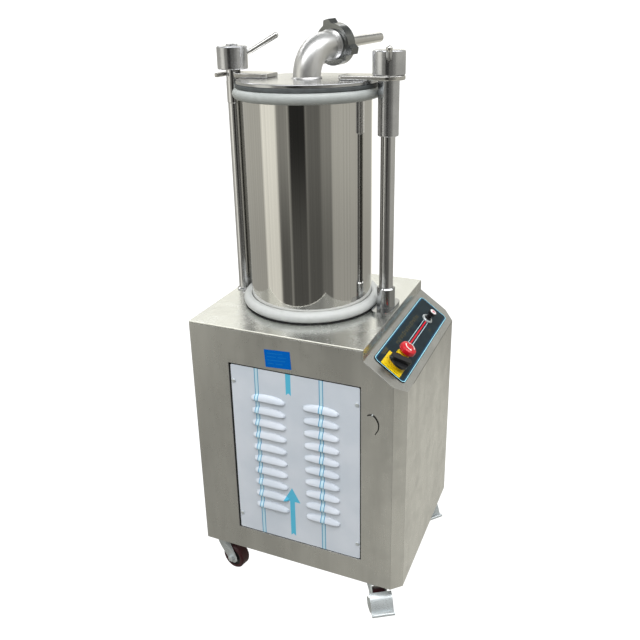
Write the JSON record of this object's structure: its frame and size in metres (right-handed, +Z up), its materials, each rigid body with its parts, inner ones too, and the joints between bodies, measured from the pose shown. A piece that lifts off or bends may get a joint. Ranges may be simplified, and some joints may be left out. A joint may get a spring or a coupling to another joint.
{
  "type": "sausage stuffer",
  "caption": "Hydraulic sausage stuffer on casters: steel cabinet with a louvred panel and sloped controls, upright polished barrel, swing lid clamped on columns, elbow and nozzle.",
  "frame": {"origin": "centre of the bounding box's underside, on the floor", "axes": "+Z up; -Y towards the operator, who faces the louvred front panel; +X towards the control slope"},
  "size_m": [0.55, 0.5562, 1.3865],
  "materials": {
    "cabinet_steel": "brushed stainless sheet",
    "polished_steel": "mirror polished stainless",
    "cast_steel": "machined stainless with a soft shine",
    "white_nylon": "smooth white nylon",
    "black_rubber": "matt black rubber",
    "wheel_tread": "dark red polyurethane",
    "panel_film": "steel sheet under pale protective film",
    "control_label": "dark printed polyester label",
    "yellow_plastic": "smooth yellow plastic",
    "red_plastic": "smooth red plastic",
    "black_plastic": "moulded black plastic",
    "grey_plastic": "moulded grey plastic",
    "zinc": "bright zinc plate",
    "blue_paint": "blue machine enamel"
  },
  "bodies": {
    "cabinet": {"cabinet_shell": "cabinet_steel", "base_pan": "cabinet_steel", "top_plate": "cabinet_steel", "back_panel": "cabinet_steel", "front_panel": "panel_film", "panel_screw_1": "zinc", "panel_screw_2": "zinc", "panel_screw_3": "zinc", "panel_screw_4": "zinc", "barrel": "polished_steel", "barrel_bottom_ring": "white_nylon", "barrel_top_ring": "white_nylon", "rod_gland": "cast_steel", "hydraulic_cylinder": "blue_paint", "oil_tank": "blue_paint", "pump_motor": "blue_paint", "gear_pump": "zinc", "valve_block": "zinc", "hydraulic_hose": "black_rubber", "control_box": "grey_plastic", "right_column_foot": "cast_steel", "right_column": "polished_steel", "left_column": "polished_steel", "control_plate": "control_label", "estop_base": "yellow_plastic", "switch_plate": "yellow_plastic", "button_bezel": "zinc", "cable_gland": "black_plastic", "caster_plate_front_left": "zinc", "caster_plate_front_right": "zinc", "caster_plate_back_right": "zinc", "caster_plate_back_left": "zinc"},
    "ram": {"piston": "cast_steel", "piston_seal": "white_nylon", "piston_rod": "polished_steel"},
    "lid": {"lid": "cast_steel", "lid_gasket": "black_rubber", "fork_bar": "cast_steel", "hinge_arm": "cast_steel", "pivot_sleeve": "cast_steel", "elbow_pipe": "cast_steel", "stuffing_nozzle": "cast_steel"},
    "union_nut": {"union_nut": "cast_steel"},
    "left_clamp": {"left_knob": "cast_steel", "left_lever": "polished_steel"},
    "right_clamp": {"right_knob": "cast_steel", "right_lever": "polished_steel"},
    "switch": {"switch_knob": "black_plastic"},
    "estop": {"estop_button": "red_plastic"},
    "button": {"push_button": "black_plastic"},
    "swivel_front_left": {"caster_fork_front_left": "zinc"},
    "wheel_front_left": {"caster_wheel_front_left": "wheel_tread"},
    "swivel_front_right": {"caster_fork_front_right": "zinc"},
    "wheel_front_right": {"caster_wheel_front_right": "wheel_tread"},
    "brake_front_right": {"brake_pedal_front_right": "zinc"},
    "swivel_back_right": {"caster_fork_back_right": "zinc"},
    "wheel_back_right": {"caster_wheel_back_right": "wheel_tread"},
    "brake_back_right": {"brake_pedal_back_right": "zinc"},
    "swivel_back_left": {"caster_fork_back_left": "zinc"},
    "wheel_back_left": {"caster_wheel_back_left": "wheel_tread"}
  },
  "joints": [
    {"name": "ram_stroke", "type": "slide", "parent": "cabinet", "child": "ram", "axis": [0, 0, 1], "range_m": [0, 0.43]},
    {"name": "lid_swing", "type": "hinge", "parent": "cabinet", "child": "lid", "pos_m": [0.1448, -0.0083, 1.2], "axis": [0, 0, 1], "range_deg": [-115, 0]},
    {"name": "union_nut_turn", "type": "hinge", "parent": "lid", "child": "union_nut", "pos_m": [-0.03336, 0.0512, 1.32641], "axis": [0.2585, 0.9646, 0.0523], "continuous": true},
    {"name": "left_clamp_turn", "type": "hinge", "parent": "cabinet", "child": "left_clamp", "pos_m": [-0.239, -0.0083, 1.3], "axis": [0, 0, 1], "continuous": true},
    {"name": "right_clamp_turn", "type": "hinge", "parent": "cabinet", "child": "right_clamp", "pos_m": [0.1448, -0.0083, 1.3], "axis": [0, 0, 1], "continuous": true},
    {"name": "switch_turn", "type": "hinge", "parent": "cabinet", "child": "switch", "pos_m": [0.22148, -0.1728, 0.66367], "axis": [0.5822, 0, 0.813], "range_deg": [0, 90]},
    {"name": "estop_press", "type": "slide", "parent": "cabinet", "child": "estop", "axis": [-0.5822, 0, -0.813], "range_m": [0, 0.004], "stiffness_N_per_m": 2000},
    {"name": "button_press", "type": "slide", "parent": "cabinet", "child": "button", "axis": [-0.5822, 0, -0.813], "range_m": [0, 0.003], "stiffness_N_per_m": 1200},
    {"name": "swivel_front_left_turn", "type": "hinge", "parent": "cabinet", "child": "swivel_front_left", "pos_m": [-0.2303, -0.1968, 0.09], "axis": [0, 0, 1], "continuous": true},
    {"name": "wheel_front_left_roll", "type": "hinge", "parent": "swivel_front_left", "child": "wheel_front_left", "pos_m": [-0.20291, -0.20262, 0.034], "axis": [0.2079, 0.9781, 0], "continuous": true},
    {"name": "swivel_front_right_turn", "type": "hinge", "parent": "cabinet", "child": "swivel_front_right", "pos_m": [0.1907, -0.1923, 0.09], "axis": [0, 0, 1], "continuous": true},
    {"name": "wheel_front_right_roll", "type": "hinge", "parent": "swivel_front_right", "child": "wheel_front_right", "pos_m": [0.20537, -0.21615, 0.034], "axis": [0.8517, 0.524, 0], "continuous": true},
    {"name": "brake_front_right_press", "type": "hinge", "parent": "swivel_front_right", "child": "brake_front_right", "pos_m": [0.20537, -0.21615, 0.034], "axis": [0.8517, 0.524, 0], "range_deg": [0, 10]},
    {"name": "swivel_back_right_turn", "type": "hinge", "parent": "cabinet", "child": "swivel_back_right", "pos_m": [0.1937, 0.1757, 0.09], "axis": [0, 0, 1], "continuous": true},
    {"name": "wheel_back_right_roll", "type": "hinge", "parent": "swivel_back_right", "child": "wheel_back_right", "pos_m": [0.21483, 0.15733, 0.034], "axis": [0.6561, 0.7547, 0], "continuous": true},
    {"name": "brake_back_right_press", "type": "hinge", "parent": "swivel_back_right", "child": "brake_back_right", "pos_m": [0.21483, 0.15733, 0.034], "axis": [0.6561, 0.7547, 0], "range_deg": [0, 10]},
    {"name": "swivel_back_left_turn", "type": "hinge", "parent": "cabinet", "child": "swivel_back_left", "pos_m": [-0.2213, 0.1697, 0.09], "axis": [0, 0, 1], "continuous": true},
    {"name": "wheel_back_left_roll", "type": "hinge", "parent": "swivel_back_left", "child": "wheel_back_left", "pos_m": [-0.19836, 0.18576, 0.034], "axis": [-0.5736, 0.8192, 0], "continuous": true}
  ]
}
